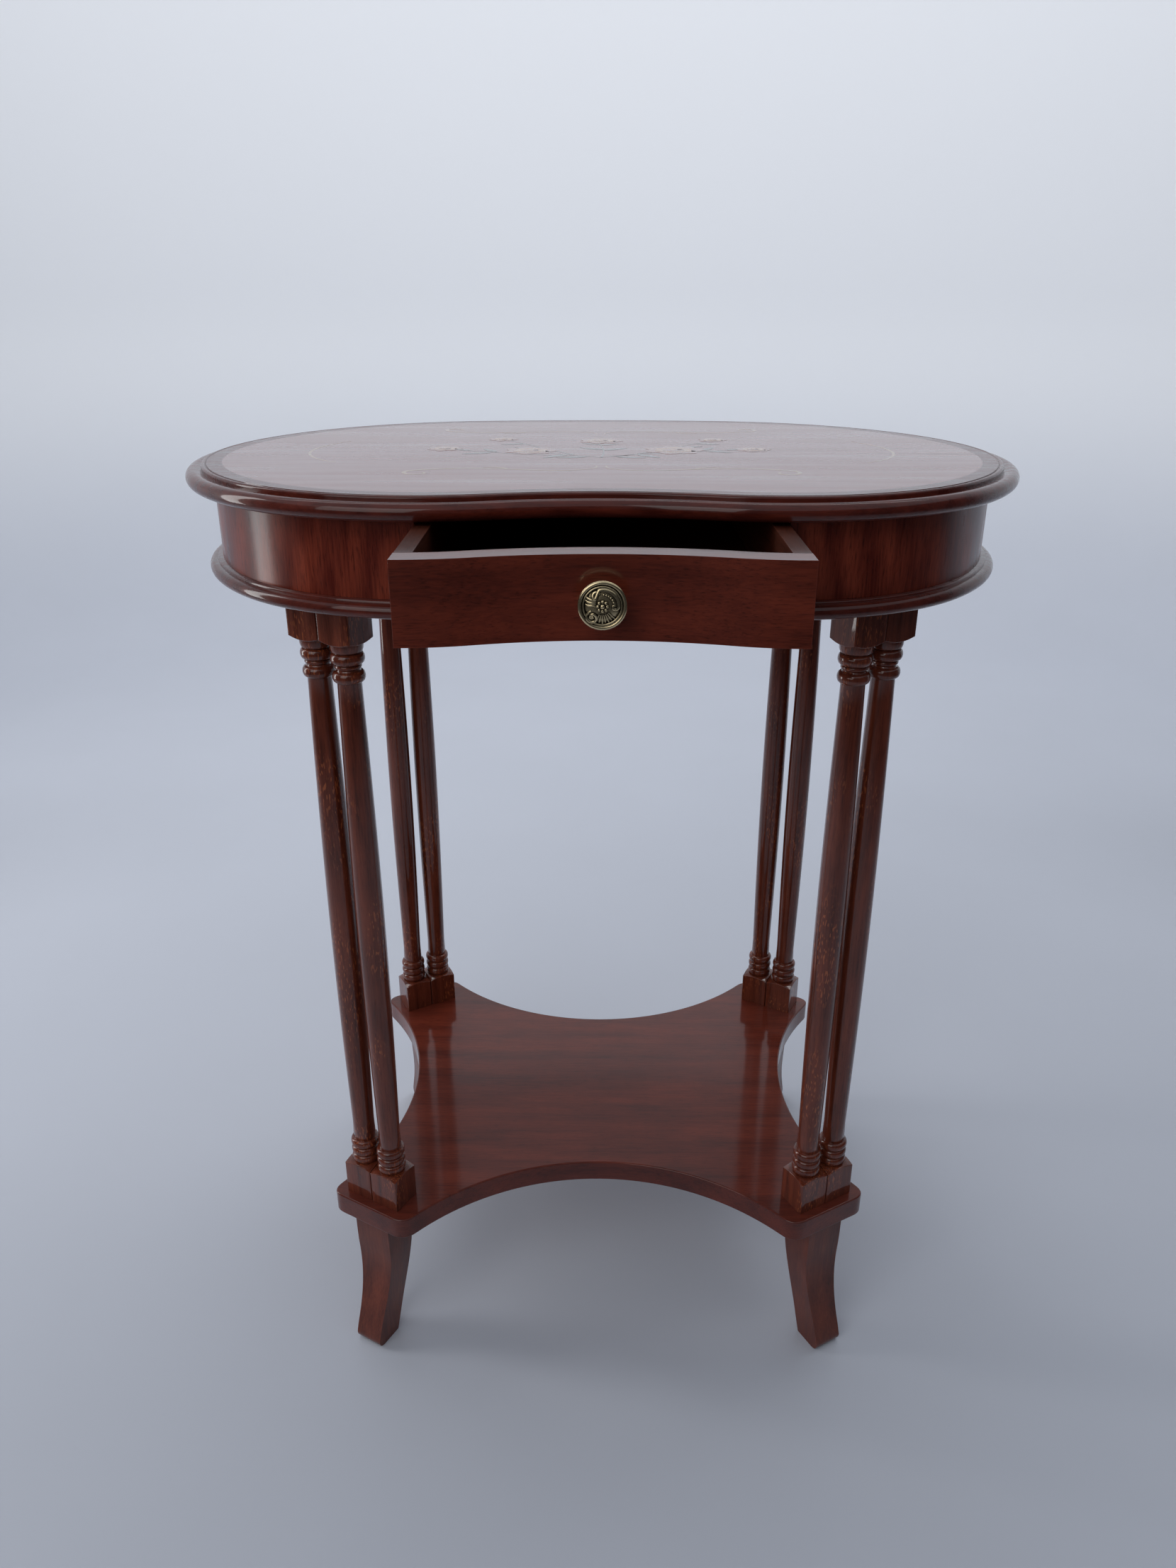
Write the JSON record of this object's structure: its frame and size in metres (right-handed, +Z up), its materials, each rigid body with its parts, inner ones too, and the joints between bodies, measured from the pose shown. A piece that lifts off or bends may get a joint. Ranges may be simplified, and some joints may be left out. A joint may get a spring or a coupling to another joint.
{
  "type": "side table with drawer",
  "caption": "Kidney-shaped mahogany side table with a drawer, paired turned columns, a hollow-sided shelf and sabre legs.",
  "frame": {"origin": "on the floor, under the middle of the table's box with the drawer drawn out as at rest", "axes": "+X to the table's right as seen from the drawer front, +Y from the drawer front to the back, +Z up"},
  "size_m": [0.659, 0.5706, 0.796],
  "materials": {
    "mahogany_veneer": "gloss lacquer on stained veneer",
    "mahogany": "satin lacquer on stained mahogany",
    "dark_moulding": "gloss lacquer on dark stained moulding",
    "stained_beech": "gloss lacquer on stained beech",
    "drawer_lining": "thin satin lacquer on pale wood",
    "antique_brass": "cast, darkened and rubbed bright on the relief",
    "steel": "plain zinc-plated"
  },
  "bodies": {
    "table": {"top_panel": "mahogany_veneer", "apron_left": "mahogany_veneer", "apron_right": "mahogany_veneer", "apron_back": "mahogany_veneer", "top_edge_moulding": "dark_moulding", "base_edge_moulding": "dark_moulding", "base_board": "mahogany", "shelf": "mahogany", "leg_front_left": "stained_beech", "top_block_front_left": "stained_beech", "top_screw_front_left": "steel", "leg_bolt_front_left": "steel", "column_front_left_inner": "stained_beech", "cap_screw_front_left_inner": "steel", "foot_screw_front_left_inner": "steel", "column_front_left_outer": "stained_beech", "cap_screw_front_left_outer": "steel", "foot_screw_front_left_outer": "steel", "leg_front_right": "stained_beech", "top_block_front_right": "stained_beech", "top_screw_front_right": "steel", "leg_bolt_front_right": "steel", "column_front_right_inner": "stained_beech", "cap_screw_front_right_inner": "steel", "foot_screw_front_right_inner": "steel", "column_front_right_outer": "stained_beech", "cap_screw_front_right_outer": "steel", "foot_screw_front_right_outer": "steel", "leg_rear_left": "stained_beech", "top_block_rear_left": "stained_beech", "top_screw_rear_left": "steel", "leg_bolt_rear_left": "steel", "column_rear_left_inner": "stained_beech", "cap_screw_rear_left_inner": "steel", "foot_screw_rear_left_inner": "steel", "column_rear_left_outer": "stained_beech", "cap_screw_rear_left_outer": "steel", "foot_screw_rear_left_outer": "steel", "leg_rear_right": "stained_beech", "top_block_rear_right": "stained_beech", "top_screw_rear_right": "steel", "leg_bolt_rear_right": "steel", "column_rear_right_inner": "stained_beech", "cap_screw_rear_right_inner": "steel", "foot_screw_rear_right_inner": "steel", "column_rear_right_outer": "stained_beech", "cap_screw_rear_right_outer": "steel", "foot_screw_rear_right_outer": "steel", "drawer_guide_left": "stained_beech", "drawer_guide_right": "stained_beech", "drawer_stop_left": "stained_beech", "drawer_stop_right": "stained_beech"},
    "drawer": {"drawer_front": "mahogany", "drawer_side_left": "drawer_lining", "drawer_side_right": "drawer_lining", "drawer_back": "drawer_lining", "drawer_bottom": "drawer_lining", "knob": "antique_brass", "knob_screw": "steel"}
  },
  "joints": [
    {"name": "drawer_slide", "type": "slide", "parent": "table", "child": "drawer", "axis": [0, -1, 0], "range_m": [-0.114, 0.12]}
  ]
}
